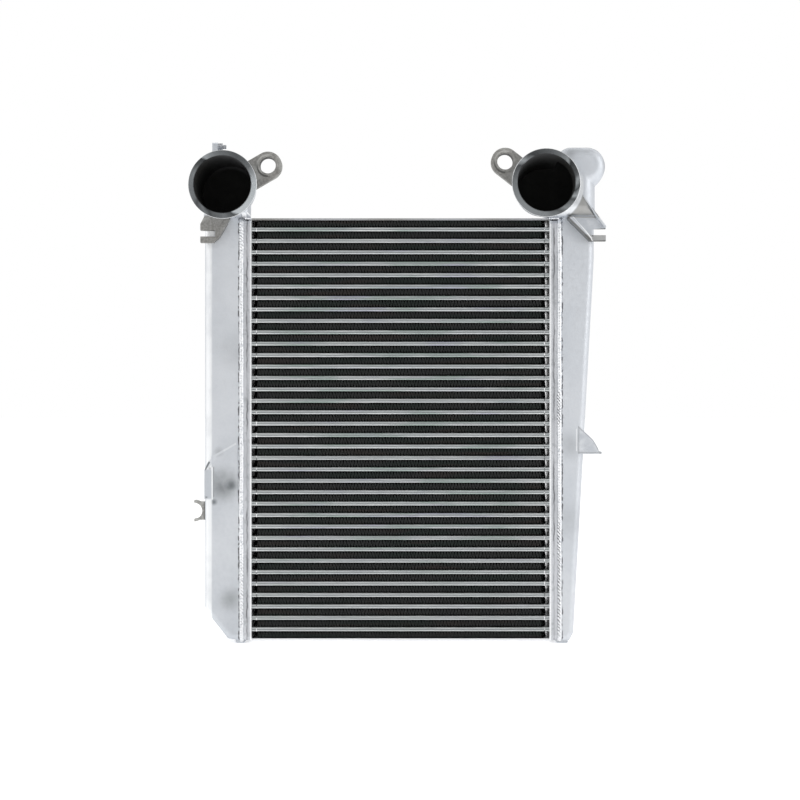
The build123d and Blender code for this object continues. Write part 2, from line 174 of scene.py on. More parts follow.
TANK_SKIN = Finish(160.0, 0.44, 0.58, 900.0, 2.0, 0.0002, 0.5)
FOOT_SKIN = Finish(160.0, 0.42, 0.58, 900.0, 2.0, 0.0003, 0.6)
BRACKET_SKIN = Finish(160.0, 0.42, 0.58, 700.0, 3.0, 0.0003, 0.6)
CAVITY_SKIN = Finish(200.0, 0.70, 0.90, 500.0, 2.0, 0.0003, 0.5)
ROUGH_SKIN = Finish(200.0, 0.50, 0.66, 650.0, 4.0, 0.0004, 0.7)
HEADER_SHEET = Finish(220.0, 0.38, 0.50, 600.0, 2.0, 0.0002, 0.5)
SIDE_PLATE_SHEET = Finish(220.0, 0.38, 0.50, 600.0, 2.0, 0.0001, 0.5)
TUBE_SHEET = Finish(90.0, 0.30, 0.42, 300.0, 2.0, 0.0002, 0.5, (0.2, 1, 4), (0.15, 1, 3))
FIN_SHEET = Finish(400.0, 0.45, 0.60, 1500.0, 2.0, 0.0001, 0.4)
BRAZE_METAL = Finish(400.0, 0.30, 0.45, 1200.0, 2.0, 0.0002, 0.5)
WELD_METAL = Finish(500.0, 0.26, 0.42, 1200.0, 2.0, 0.0002, 0.5)
STEEL_METAL = Finish(500.0, 0.30, 0.45, 1500.0, 2.0, 0.0001, 0.5)


class Nodes:
    """Adds and links the shader nodes of a material or of the world."""

    def __init__(self, owner, coordinates="Object"):
        owner.use_nodes = True
        self.owner = owner
        self.tree = owner.node_tree
        self.shader = self.tree.nodes.get("Principled BSDF")
        self.place = self.add("ShaderNodeTexCoord").outputs[coordinates]

    def add(self, kind, **settings):
        node = self.tree.nodes.new(kind)
        for key, value in settings.items():
            setattr(node, key, value)
        return node

    def link(self, source, target):
        self.tree.links.new(source, target)

    def put(self, value, socket):
        """Sets a socket to a number or a colour, or links an output to it."""
        if isinstance(value, tuple):
            socket.default_value = (*value, 1.0)
        elif isinstance(value, (int, float)):
            socket.default_value = value
        else:
            self.link(value, socket)

    def noise(self, scale, detail=3.0, stretch=(1, 1, 1)):
        mapping = self.add("ShaderNodeMapping")
        mapping.inputs["Scale"].default_value = stretch
        self.link(self.place, mapping.inputs["Vector"])
        noise = self.add("ShaderNodeTexNoise")
        noise.inputs["Scale"].default_value = scale
        noise.inputs["Detail"].default_value = detail
        self.link(mapping.outputs["Vector"], noise.inputs["Vector"])
        return noise.outputs["Fac"]

    def remap(self, value, low, high, out_low=0.0, out_high=1.0):
        node = self.add("ShaderNodeMapRange", interpolation_type="SMOOTHSTEP")
        self.link(value, node.inputs["Value"])
        node.inputs["From Min"].default_value = low
        node.inputs["From Max"].default_value = high
        node.inputs["To Min"].default_value = out_low
        node.inputs["To Max"].default_value = out_high
        return node.outputs["Result"]

    def drift(self, scale, low=0.0, high=1.0, detail=3.0, stretch=(1, 1, 1)):
        """A value that wanders from low to high over the surface."""
        return self.remap(self.noise(scale, detail, stretch), 0.3, 0.7, low, high)

    def mix(self, factor, first, second, kind="RGBA"):
        node = self.add("ShaderNodeMix", data_type=kind)
        self.link(factor, node.inputs["Factor"])
        self.put(first, node.inputs["A"])
        self.put(second, node.inputs["B"])
        return node.outputs["Result"]

    def math(self, operation, *values):
        node = self.add("ShaderNodeMath", operation=operation)
        for socket, value in zip(node.inputs, values):
            self.put(value, socket)
        return node.outputs["Value"]

    def product(self, first, *factors):
        for factor in factors:
            first = self.math("MULTIPLY", first, factor)
        return first

    def largest(self, first, *others):
        for other in others:
            first = self.math("MAXIMUM", first, other)
        return first

    def axes(self):
        separate = self.add("ShaderNodeSeparateXYZ")
        self.link(self.place, separate.inputs["Vector"])
        return separate.outputs["X"], separate.outputs["Y"], separate.outputs["Z"]

    def band(self, value, middle, half, fade):
        """1 where a value is within half of its middle, falling to 0 over fade."""
        away = self.math("ABSOLUTE", self.math("SUBTRACT", value, middle))
        return self.remap(away, half, half + fade, 1.0, 0.0)

    def spot(self, centre, radius, fade):
        """1 near a point seen from the front, falling to 0 over fade before the radius."""
        flat = self.add("ShaderNodeVectorMath", operation="MULTIPLY")
        self.link(self.place, flat.inputs[0])
        flat.inputs[1].default_value = (1, 0, 1)
        away = self.add("ShaderNodeVectorMath", operation="DISTANCE")
        self.link(flat.outputs["Vector"], away.inputs[0])
        away.inputs[1].default_value = (centre.x, 0, centre.z)
        return self.remap(away.outputs["Value"], radius - fade, radius, 1.0, 0.0)

    def radial(self, centre):
        """Distance from an axis along Y, and the turn about it from 0 to 1."""
        x, _, z = self.axes()
        dx = self.math("SUBTRACT", x, centre.x)
        dz = self.math("SUBTRACT", z, centre.z)
        away = self.math("SQRT", self.math("ADD", self.math("POWER", dx, 2.0), self.math("POWER", dz, 2.0)))
        turn = self.math("ARCTAN2", dx, dz)
        return away, self.math("MULTIPLY_ADD", turn, 0.5 / math.pi, 0.5)

    def across(self, start, end):
        """How far a place lies across a line drawn in X and Z, and where the line itself lies."""
        normal = Vector((end.z - start.z, 0, start.x - end.x)).normalized()
        dot = self.add("ShaderNodeVectorMath", operation="DOT_PRODUCT")
        self.link(self.place, dot.inputs[0])
        dot.inputs[1].default_value = normal
        return dot.outputs["Value"], normal.dot(start)

    def line(self, start, end, half, fade):
        """1 along an endless line, falling to 0 on both sides of it."""
        return self.band(*self.across(start, end), half, fade)

    def stroke(self, start, end, half):
        """1 along a line between its two ends only."""
        radius = (end - start).length / 2 + half
        fade = radius * half / (radius - half)
        return self.product(self.line(start, end, half, half), self.spot((start + end) / 2, radius, fade))

    def beside(self, start, end, fade):
        """1 on the left of a line, 0 on its right."""
        value, edge = self.across(start, end)
        return self.remap(value, edge - fade, edge + fade, 1.0, 0.0)

    def tones(self, factor, stops):
        """Cool grey that follows a list of stops, each a place from 0 to 1 and a grey."""
        node = self.add("ShaderNodeValToRGB")
        self.link(factor, node.inputs["Fac"])
        elements = node.color_ramp.elements
        while len(elements) < len(stops):
            elements.new(1.0)
        for element, (at, grey) in zip(elements, stops):
            element.position = at
            element.color = (grey, grey * 1.06, grey * 1.10, 1.0)
        return node.outputs["Color"]

    def roughness(self, finish):
        return self.drift(finish.rough_scale, finish.smooth, finish.rough, stretch=finish.rough_stretch)

    def finish(self, colour, finish, roughness=None, metallic=1.0):
        """Links the colour, the roughness and the grain to the shader."""
        if roughness is None:
            roughness = self.roughness(finish)
        bump = self.add("ShaderNodeBump")
        bump.inputs["Distance"].default_value = finish.grain_height
        bump.inputs["Strength"].default_value = finish.grain_strength
        grain = self.noise(finish.grain_scale, finish.grain_detail, finish.grain_stretch)
        self.link(grain, bump.inputs["Height"])
        self.link(bump.outputs["Normal"], self.shader.inputs["Normal"])
        self.link(colour, self.shader.inputs["Base Color"])
        self.link(roughness, self.shader.inputs["Roughness"])
        self.shader.inputs["Metallic"].default_value = metallic
        return self.owner


def new_nodes(name):
    return Nodes(bpy.data.materials.new(name))


# ---- tank castings ----
# the right tank's grey is raised as painted light, as if it were more lit than the left
cast_tone = {"left": CAST, "right": shaded(CAST, 1.07)}
face_fade = (tank_front + 0.004, tank_front + 0.008)
neck_fade = (header_top - 0.002, header_top)
seam_line = {"left": welds["left"][0].x, "right": welds["right"][1].x}
seam_half = 0.0006
seam_wander = 0.0006
# painted highlight along the left tank's rounded outer edge: place, half width and fade
edge_highlight = (on_tank(208.8, 400).x, 0.003, 0.003)

# Stains and painted shade on the front: middle, radius, strength and colour.
smudges_and_shade = {
    "left": (
        # painted shade in the hollow beside the pad, and in its darkest part
        (on_tank(223, 484), 0.036, 0.95, CAST_HOLLOW_SHADE),
        (on_tank(231, 485), 0.012, 1.0, CAST_DEEP_SHADE),
        # a darker patch low on the front
        (on_tank(231, 600), 0.026, 0.8, CAST_SMUDGE_AND_SHADE),
        # painted shade under the ridge, then under the pad
        (on_tank(219, 452), 0.010, 0.7, CAST_SMUDGE_AND_SHADE),
        (on_tank(214, 502), 0.007, 0.9, CAST_DEEP_SHADE),
        # a faint darker patch higher up
        (on_tank(233, 350), 0.040, 0.35, CAST_SMUDGE_AND_SHADE),
    ),
    "right": (
        # painted shade on the elbow's top beside the port
        (photo_point(566, 153, elbow_side_front), 0.022, 0.8, CAST_SMUDGE_AND_SHADE),
        (on_tank(570, 520), 0.040, 0.3, CAST_SMUDGE_AND_SHADE),
        (on_tank(571, 445), 0.030, 0.45, CAST_SMUDGE_AND_SHADE),
    ),
}

# Straight marks on the front, many of them painted highlights and painted shade: both ends, half width,
# colour and strength.
marks = {
    "left": (
        # pad low on the side, with a painted highlight on its edge and painted shade beside it
        (on_tank(208.6, 470), on_tank(208.6, 498), 0.0034, CAST, 0.95),
        (on_tank(212.3, 467.5), on_tank(212.3, 499.5), 0.0006, CAST_WHITE, 1.0),
        (on_tank(213.7, 467), on_tank(213.7, 497), 0.0006, CAST_SMUDGE_AND_SHADE, 0.8),
        # ridge that runs up from the pad to the seam: painted highlights along it, and a painted shade line
        # above the pad
        (on_tank(212, 457.6), on_tank(224, 450.5), 0.0011, CAST_PALE, 0.9),
        (on_tank(224, 450.5), on_tank(236, 443.6), 0.0009, CAST_WHITE, 0.35),
        (on_tank(215, 457), on_tank(207, 467), 0.0020, CAST_PALE, 0.8),
        (on_tank(205.3, 469.5), on_tank(209.5, 462), 0.0009, CAST_DEEP_SHADE, 0.85),
        # painted shade at the pad's corners
        (on_tank(209.3, 468.2), on_tank(210.9, 468.2), 0.0020, SEAM_SHADE, 0.9),
        (on_tank(205.6, 497.3), on_tank(207.4, 497.3), 0.0018, SEAM_SHADE, 0.85),
        # painted highlight under the fork, seen through its slot; pale marks and a thin dark line between
        # the elbow and the header
        (on_tank(205, 233.4), on_tank(214.5, 233.4), 0.0040, CAST_WHITE, 1.0),
        (on_elbow(243.4, 213), on_elbow(244.6, 219.5), 0.0022, CAST_WHITE, 0.95),
        (on_elbow(241.2, 214), on_elbow(241.8, 219), 0.0005, CAST_SMUDGE_AND_SHADE, 0.8),
        (on_elbow(247, 212.5), on_elbow(252, 217), 0.0006, CAST_WHITE, 0.9),
    ),
    "right": (
        # pale line beside the shelf's gusset
        (on_tank(576.6, 429), on_tank(576.6, 451), 0.0005, CAST_WHITE, 0.6),
    ),
}

# Painted highlight and painted shade of the right elbow. Three values are a middle, half width and fade,
# by distance from the port's axis or by turn about it. Two values are where a shade begins and where it is
# full.
elbow_face_fade = (elbow_front + 0.008, elbow_front + 0.010)
flare_ring = (bead_radius + 0.002, 0.004, 0.002)
flare_turn = (0.84, 0.10, 0.05)
lip_shade_ring = (bead_radius + 0.006, bead_radius + 0.009)
lip_shade_turn = (0.86, 0.09, 0.03)
lip_shade_foot = (header_top - 0.001, header_top + 0.001)
lip_line = (on_elbow(583.4, 195.8), on_elbow(598.5, 219))
shoulder_drop = 0.0045
shoulder_trim = 0.0038
crest_z = shoulder_top - shoulder_drop
crest_shade = (crest_z - 0.009, crest_z - 0.001)
flank_x = shoulder_edge - shoulder_trim
flank_shade = (flank_x - 0.005, flank_x - 0.001)
flank_foot = (header_top, header_top + 0.010)

# Turned lip of a port: painted reflection tones clockwise from the bottom, as a part of a turn and a grey.
ring_depth = 0.0031
ring_fade = 0.0003
ring_line = 0.0003
ring_twist = 3.0
turned_rough = (200.0, 0.26, 0.36)
ring_reflection_tones = {
    "left": (
        (0.00, 0.12), (0.04, 0.10), (0.08, 0.05), (0.11, 0.13), (0.15, 0.06), (0.18, 0.12), (0.25, 0.18),
        (0.32, 0.14), (0.37, 0.06), (0.414, 0.035), (0.424, 0.27), (0.50, 0.20), (0.58, 0.13), (0.66, 0.16),
        (0.75, 0.30), (0.85, 0.36), (0.93, 0.38), (0.945, 0.06), (1.00, 0.12),
    ),
    "right": (
        (0.00, 0.16), (0.10, 0.18), (0.25, 0.18), (0.31, 0.08), (0.36, 0.05), (0.395, 0.30), (0.43, 0.07),
        (0.50, 0.13), (0.58, 0.18), (0.64, 0.24), (0.66, 0.03), (0.71, 0.045), (0.75, 0.14), (0.79, 0.03),
        (0.83, 0.22), (0.86, 0.05), (0.90, 0.16), (0.94, 0.07), (1.00, 0.16),
    ),
}
mouth_turn = {"left": 0.58, "right": 0.42}
bore_fade = 0.006


def cast_skin(m, side):
    """Clouded and streaked casting skin."""
    cloud = m.remap(m.noise(7.0, 4.0), 0.35, 0.68)
    streak = m.drift(30.0, 0.0, 0.5, 2.0, stretch=(1, 1, 0.12))
    return m.mix(m.largest(cloud, streak), cast_tone[side], CAST_PALE)


def smudged_and_shaded(m, colour, side, on_face):
    """Stains and painted shade with uneven edges on the front."""
    for centre, radius, strength, tone in smudges_and_shade[side]:
        patchy = m.remap(m.noise(38.0), 0.3, 0.62, 0.6 * strength, strength)
        colour = m.mix(m.product(m.spot(centre, radius, radius), patchy, on_face), colour, tone)
    return colour


def seam_shaded(m, colour, side, below_port):
    """Broken dark line along the weld, and on the left a painted highlight along the rounded outer edge."""
    x = m.axes()[0]
    wander = m.drift(120.0, -seam_wander, seam_wander, 2.0)
    seam = m.band(m.math("ADD", x, wander), seam_line[side], seam_half, seam_half)
    broken = m.remap(m.noise(150.0), 0.42, 0.54, 0.1, 0.95)
    colour = m.mix(m.product(seam, below_port, broken), colour, SEAM_SHADE)
    if side == "left":
        patchy = m.remap(m.noise(25.0), 0.3, 0.6, 0.5, 0.85)
        colour = m.mix(m.product(m.band(x, *edge_highlight), below_port, patchy), colour, CAST_WHITE)
    return colour


def marked(m, colour, side, on_face):
    """Straight marks on the front."""
    for start, end, half, tone, strength in marks[side]:
        colour = m.mix(m.product(m.stroke(start, end, half), strength, on_face), colour, tone)
    return colour


def elbow_shaded(m, colour, away, turn):
    """Painted highlight and painted shade beside the right port, and painted shade on the top and outer
    edges of its shoulder.
    """
    x, y, z = m.axes()
    on_front = m.remap(y, *elbow_face_fade, 1.0, 0.0)
    flare = m.product(m.band(away, *flare_ring), m.band(turn, *flare_turn), on_front)
    shade = m.product(
        m.remap(away, *lip_shade_ring),
        m.beside(*reversed(lip_line), 0.0008),
        m.band(turn, *lip_shade_turn),
        m.remap(z, *lip_shade_foot),
        on_front,
    )
    colour = m.mix(m.product(flare, 0.5), colour, CAST_WHITE)
    colour = m.mix(m.product(shade, 0.85), colour, ROUGH_CAST)
    crest = m.remap(z, *crest_shade, 0.0, 0.6)
    flank = m.product(m.remap(x, *flank_shade, 0.0, 0.45), m.remap(z, *flank_foot))
    return m.mix(m.largest(crest, flank), colour, CAST_SMUDGE_AND_SHADE)


def turned_lip(m, side, away, turn):
    """Painted reflections that bend with the lip's cone, and a painted highlight line round the bead."""
    twist = m.product(m.math("SUBTRACT", away, port_bore), ring_twist)
    warped = m.math("ADD", m.math("ADD", turn, twist), m.drift(55.0, -0.012, 0.012))
    bright = m.band(away, bead_radius, ring_line, ring_line)
    return m.mix(m.product(bright, 0.8), m.tones(warped, ring_reflection_tones[side]), CAST_WHITE)


def cast_material(side):
    """Sand-cast aluminium of a tank, turned at the port's lip, with painted shade, highlights and
    reflections.
    """
    m = new_nodes(f"cast_tank_{side}")
    _, y, z = m.axes()
    away, turn = m.radial(ports[side])
    on_face = m.remap(y, *face_fade, 1.0, 0.0)
    below_port = m.remap(z, *neck_fade, 1.0, 0.0)
    colour = smudged_and_shaded(m, cast_skin(m, side), side, on_face)
    colour = seam_shaded(m, colour, side, below_port)
    colour = marked(m, colour, side, on_face)
    if side == "right":
        colour = elbow_shaded(m, colour, away, turn)
    on_lip = m.remap(y, port_face + ring_depth, port_face + ring_depth + ring_fade, 1.0, 0.0)
    colour = m.mix(on_lip, colour, turned_lip(m, side, away, turn))
    roughness = m.mix(on_lip, m.roughness(TANK_SKIN), m.drift(*turned_rough), kind="FLOAT")
    return m.finish(colour, TANK_SKIN, roughness)


def cavity_material(side):
    """Inside an elbow, painted near black as shade, with painted light where it slants in at the mouth's
    upper edge.
    """
    m = new_nodes(f"cast_cavity_{side}")
    away, turn = m.radial(ports[side])
    colour = m.mix(m.drift(60.0), BORE_SHADE, shaded(BORE_SHADE, 1.3))
    at_mouth = m.remap(away, port_bore - bore_fade, port_bore)
    colour = m.mix(m.product(m.band(turn, mouth_turn[side], 0.06, 0.16), at_mouth), colour, BORE_LIT)
    m.shader.inputs["Specular IOR Level"].default_value = 0.1
    return m.finish(colour, CAVITY_SKIN, metallic=0.0)


# ---- lugs, brackets and saddle ----
# Edge of an eye's boss, and its lit and shaded stretches: middle, half width and fade.
eye_boss = (0.0158, 0.0006, 0.0012)
eye_light_turn = (0.36, 0.10, 0.20)
eye_shade_turn = (0.06, 0.10, 0.22)
eye_wall = (eye_bore + 0.0001, eye_bore + 0.0005)

# Lines on the right fork and the shelf: both ends, and for a line its half width and fade.
# painted shade along the fork's rib, and a painted highlight along the lip's edge
rib_line = (on_fork(569, 219), on_fork(590, 240), 0.0019, 0.0006)
rib_edge = (on_fork(573.5, 216), on_fork(592.5, 239.5), 0.0006, 0.0005)
prong_z = on_fork(600, 234.5).z
prong_top = (prong_z - 0.0005, prong_z + 0.0005)
# painted shade along the edges of the fork's slot
fork_shade_half = 0.0006
fork_shades = (
    (on_fork(592.5, 229.2), on_fork(606, 228.4)),
    (on_fork(593.2, 229), on_fork(593.2, 236)),
    (on_fork(592.5, 240.8), on_fork(606, 240.4)),
)
gusset_edge = (
    on_tank(598.7, 450.0),
    on_tank(597.4, 447.0),
    on_tank(595.6, 443.8),
    on_tank(593.4, 440.4),
    on_tank(590.5, 437.2),
    on_tank(586.0, 433.0),
)
gusset_root = on_tank(578.3, 426)
# painted shade along the shelf's edges: both ends
shelf_edges = (
    (on_tank(578.6, 427), on_tank(593.4, 440.4)),
    (on_tank(593.4, 440.4), on_tank(599, 451)),
    (on_tank(578, 452.6), on_tank(601, 452.6)),
    (on_tank(578.6, 426), on_tank(578.6, 453)),
)
shelf_edge_width = (0.0007, 0.0008)
saddle_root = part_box("pipe_saddle")[1].x
saddle_shade = (saddle_root - 0.0065, saddle_root - 0.002)


def plain_cast_material():
    m = new_nodes("cast_bracket")
    return m.finish(m.mix(m.remap(m.noise(25.0, 4.0), 0.35, 0.65), CAST, CAST_PALE), FOOT_SKIN)


def bracket_skin(m):
    return m.mix(m.remap(m.noise(60.0, 4.0), 0.35, 0.65), CAST, CAST_PALE)


def rough_skin(m):
    colour = m.mix(m.drift(300.0, detail=5.0), ROUGH_CAST_DARK, ROUGH_CAST)
    return m.mix(m.remap(m.noise(55.0, 2.0), 0.45, 0.7, 0.0, 0.5), colour, ROUGH_CAST_PALE)


def rough_material():
    m = new_nodes("rough_casting")
    return m.finish(rough_skin(m), ROUGH_SKIN)


def eye_material(side):
    """Rough lug; the boss round its eye has a painted highlight on its upper edge, painted shade at its
    root, and its bore wall is painted dark as shade.
    """
    m = new_nodes(f"rough_eye_{side}")
    away, turn = m.radial(eyes[side])
    rim = m.band(away, *eye_boss)
    upper = m.remap(m.band(turn, *eye_light_turn), 0.0, 1.0, 0.0, 0.8)
    lower = m.remap(m.band(turn, *eye_shade_turn), 0.0, 1.0, 0.0, 0.85)
    colour = m.mix(m.product(rim, upper), rough_skin(m), ROUGH_CAST_PALE)
    colour = m.mix(m.product(rim, lower), colour, ROUGH_CAST_SHADE)
    return m.finish(m.mix(m.remap(away, *eye_wall, 0.95, 0.0), colour, EYE_WALL_SHADE), ROUGH_SKIN)


def saddle_material():
    """Rough saddle, shaded at its root."""
    m = new_nodes("rough_saddle")
    colour = m.mix(m.drift(300.0, detail=5.0), ROUGH_CAST, ROUGH_CAST_PALE)
    shade = m.remap(m.axes()[0], *saddle_shade, 0.0, 0.85)
    return m.finish(m.mix(shade, colour, ROUGH_CAST_SHADE), ROUGH_SKIN)


def shelf_material():
    """Pale gusset with painted shade along its edges."""
    m = new_nodes("cast_shelf")
    colour = bracket_skin(m)
    for start, end in shelf_edges:
        colour = m.mix(m.product(m.line(start, end, *shelf_edge_width), 0.55), colour, CAST_SMUDGE_AND_SHADE)
    return m.finish(colour, BRACKET_SKIN)


def right_fork_material():
    """Bracket with painted shade along its rib, a painted highlight along its lip, and painted shade on the
    web above the header.
    """
    m = new_nodes("cast_right_fork")
    z = m.axes()[2]
    colour = m.mix(m.remap(z, *neck_fade, 0.0, 0.8), bracket_skin(m), ROUGH_CAST)
    colour = m.mix(m.remap(z, *prong_top, 0.7, 0.0), colour, ROUGH_CAST)
    colour = m.mix(m.product(m.line(*rib_line), 0.8), colour, ROUGH_CAST_SHADE)
    colour = m.mix(m.product(m.line(*rib_edge), 0.9), colour, CAST_WHITE)
    for start, end in fork_shades:
        colour = m.mix(m.product(m.stroke(start, end, fork_shade_half), 0.85), colour, ROUGH_CAST_SHADE)
    return m.finish(colour, BRACKET_SKIN)


def steel_material():
    m = new_nodes("steel_fastener")
    return m.finish(m.mix(m.remap(m.noise(700.0), 0.35, 0.6), STEEL, HEADER), STEEL_METAL)


# ---- core materials ----
# painted shade line beside each weld, and the half width of the painted highlight along the core
header_line = {"left": on_tank(247, 400).x, "right": on_tank(554, 400).x}
header_edge_half = 0.0011
fin_wave = 0.00415
fin_front_depth = 0.014
# where the fins are painted deeper shade: near each tube, and behind the front strip
fold_edge = (fin_height / 2 - 0.0026, fin_height / 2 - 0.0012)
fin_back_face = (fins_high.y - fins_low.y - 0.010, fins_high.y - fins_low.y - 0.005)
tube_pale_ends = (0.15, 0.21)
tube_pale_low = (0.05, 0.20)
stroke_pitch = 0.0052
stroke_lean = 1.2
stroke_depth = {"left": 0.3, "right": 0.95}

# Stretches where a weld bead is coarse: height, and how far the stretch reaches up and down.
coarse_runs = {
    "left": ((on_tank(243, 236).z, 0.03), (on_tank(243, 590).z, 0.06)),
    "right": ((on_tank(560, 408).z, 0.03), (on_tank(560, 575).z, 0.10)),
}


def header_material(side):
    """Header rim: painted highlight along the core, with a painted shade line beside the weld."""
    m = new_nodes(f"header_{side}")
    x = m.axes()[0]
    colour = m.mix(m.drift(60.0, stretch=(1, 1, 0.2)), HEADER, HEADER_PALE)
    colour = m.mix(m.remap(m.noise(140.0), 0.55, 0.7, 0.0, 0.45), colour, CAST_SMUDGE_AND_SHADE)
    wander = m.drift(90.0, -seam_wander, seam_wander, 2.0)
    shade = m.band(m.math("ADD", x, wander), header_line[side], 0.0005, 0.0012)
    shade = m.product(shade, m.remap(m.noise(22.0), 0.4, 0.62, 0.25, 0.8))
    colour = m.mix(shade, colour, SEAM_SHADE)
    edge_x = {"left": core_left, "right": core_right}[side] - toward_core[side] * header_edge_half
    edge = m.band(x, edge_x, header_edge_half, 0.0006)
    return m.finish(m.mix(m.product(edge, 0.85), colour, CAST_WHITE), HEADER_SHEET)


def side_plate_material(name, low, high):
    m = new_nodes(name)
    return m.finish(m.mix(m.drift(40.0, stretch=(0.2, 1, 1)), low, high), SIDE_PLATE_SHEET)


def tube_tint(m, x, z):
    """Braze tint that drifts along and between the tubes, paler at the ends and low down."""
    colour = m.mix(m.remap(m.noise(6.0, 2.0, (1, 1, 11)), 0.42, 0.52), TUBE_GREEN, TUBE_SILVER)
    colour = m.mix(m.remap(m.noise(5.0, 2.0, (1.4, 1, 9)), 0.54, 0.66, 0.0, 0.8), colour, TUBE_VIOLET)
    pale = m.remap(m.noise(9.0, 3.0, (1, 1, 12)), 0.5, 0.7)
    from_middle = m.math("ABSOLUTE", m.math("SUBTRACT", x, core_middle))
    ends = m.remap(from_middle, *tube_pale_ends, 0.0, 0.8)
    low = m.remap(z, *tube_pale_low, 0.7, 0.0)
    return m.mix(m.largest(pale, ends, low), colour, TUBE_PALE)


def tube_material():
    """Tinted aluminium with painted shade along the midline and at the edges."""
    m = new_nodes("tube")
    x, _, z = m.axes()
    colour = tube_tint(m, x, z)
    phase = m.math("FRACT", m.math("DIVIDE", m.math("SUBTRACT", z, tube_low.z), tube_pitch))
    height = m.product(phase, tube_pitch)
    wander = m.drift(30.0, -0.0002, 0.0002, 2.0, stretch=(1, 1, 3))
    middle = m.band(m.math("ADD", height, wander), tube_height / 2, 0.0006, 0.0010)
    colour = m.mix(m.product(middle, 0.9), colour, TUBE_MIDLINE)
    from_middle = m.math("ABSOLUTE", m.math("SUBTRACT", height, tube_height / 2))
    edge = m.remap(from_middle, tube_height / 2 - 0.0003, tube_height / 2 + 0.0001)
    return m.finish(m.mix(m.product(edge, 0.8), colour, TUBE_EDGE), TUBE_SHEET)


def collar_material():
    m = new_nodes("tube_collar")
    return m.finish(m.mix(m.remap(m.noise(240.0), 0.42, 0.58), TUBE_EDGE, CAST_WHITE), BRAZE_METAL)


def fin_material():
    """Fins painted dark as shade, each row with its own tint; painted deeper shade near the tubes and
    behind the front strip.
    """
    m = new_nodes("fins")
    x, depth, z = m.axes()
    rib = m.math("SINE", m.product(x, 2 * math.pi / fin_wave))
    from_middle = m.math("ABSOLUTE", m.math("SUBTRACT", z, fin_height / 2))
    fold = m.product(m.remap(from_middle, *fold_edge), m.remap(rib, -0.8, 0.8, 0.25, 1.0))
    shifted = m.add("ShaderNodeVectorMath", operation="ADD")
    m.link(m.place, shifted.inputs[0])
    m.link(m.add("ShaderNodeObjectInfo").outputs["Location"], shifted.inputs[1])
    m.place = shifted.outputs["Vector"]
    colour = m.mix(m.remap(m.noise(6.0, 2.0, (1, 1, 8)), 0.4, 0.55), FIN_GREEN, FIN_DARK_SHADE)
    colour = m.mix(m.remap(m.noise(8.0, 2.0, (1, 1, 10)), 0.52, 0.68), colour, FIN_BROWN)
    behind = m.remap(depth, fin_front_depth - 0.003, fin_front_depth)
    deep = m.product(behind, m.remap(depth, *fin_back_face, 1.0, 0.0))
    return m.finish(m.mix(m.largest(fold, deep), colour, FIN_DEEP_SHADE), FIN_SHEET)


def weld_material(side):
    """Bright bead; where it is coarse, slanted strokes shade the half towards the core."""
    m = new_nodes(f"weld_{side}")
    x, _, z = m.axes()
    colour = m.mix(m.remap(m.noise(260.0), 0.3, 0.5), CAST, WELD)
    low, high = welds[side]
    inward = m.product(m.math("SUBTRACT", x, (low.x + high.x) / 2), toward_core[side])
    slant = m.math("ADD", m.math("MULTIPLY_ADD", x, stroke_lean, z), m.drift(110.0, -0.0012, 0.0012))
    wave = m.math("SINE", m.product(slant, 2 * math.pi / stroke_pitch))
    coarse = m.largest(*(m.band(z, at, 0.6 * reach, 0.5 * reach) for at, reach in coarse_runs[side]))
    deep = m.remap(inward, -0.002, 0.001, 0.1, stroke_depth[side])
    colour = m.mix(m.product(m.remap(wave, 0.0, 0.7), coarse, deep), colour, SEAM_SHADE)
    return m.finish(colour, WELD_METAL)


# ---- meshes and pieces ----
def new_mesh(name, vertices, faces, material):
    mesh = bpy.data.meshes.new(name)
    mesh.from_pydata(vertices, [], faces)
    mesh.materials.append(material)
    return mesh


def add_piece(name, mesh, stands_for=(), at=(0, 0, 0)):
    """A new piece that rides on the part and stands for CAD nodes."""
    piece = bpy.data.objects.new(name, mesh)
    bpy.context.scene.collection.objects.link(piece)
    piece.location = at
    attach(piece, "root")
    if stands_for:
        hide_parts(*stands_for)


def joined(solids):
    """Vertices and faces of several solids as one list each."""
    vertices, faces = [], []
    for solid_vertices, solid_faces in solids:
        faces += [tuple(i + len(vertices) for i in face) for face in solid_faces]
        vertices += solid_vertices
    return vertices, faces


def prism(outline, y_low, y_high):
    """Plate drawn in X and Z, counter-clockwise from the front, between two depths."""
    count = len(outline)
    vertices = [(x, y, z) for y in (y_low, y_high) for x, z in outline]
    faces = [tuple(range(count)), tuple(range(count, 2 * count))[::-1]]
    faces += [(i, count + i, count + (i + 1) % count, (i + 1) % count) for i in range(count)]
    return vertices, faces


def swept(outline, x_low, x_high, middle):
    """Closed solid with an outline drawn in Y and Z, between two places along X."""
    count = len(outline)
    vertices = [(x, middle.y + y, middle.z + z) for x in (x_low, x_high) for y, z in outline]
    faces = [(i, (i + 1) % count, count + (i + 1) % count, count + i) for i in range(count)]
    faces += [tuple(range(count))[::-1], tuple(range(count, 2 * count))]
    return vertices, faces


# ---- fins ----
fin_sheet = 0.0007
fin_front_runs = 2
fin_back_runs = 2
fin_front_inset = 0.0065

# One fold, as parts of a wave and of the fin's height.
fin_wave_shape = (
    (0.06, 0.0), (0.14, 0.06), (0.36, 0.94), (0.44, 1.0),
    (0.56, 1.0), (0.64, 0.94), (0.86, 0.06), (0.94, 0.0),
)


def fin_line(width, height):
    """Front outline of one folded strip: across, up."""
    waves = round(width / fin_wave)
    step = width / waves
    return np.array([
        (step * (wave + across), up * height)
        for wave in range(waves)
        for across, up in fin_wave_shape
    ])


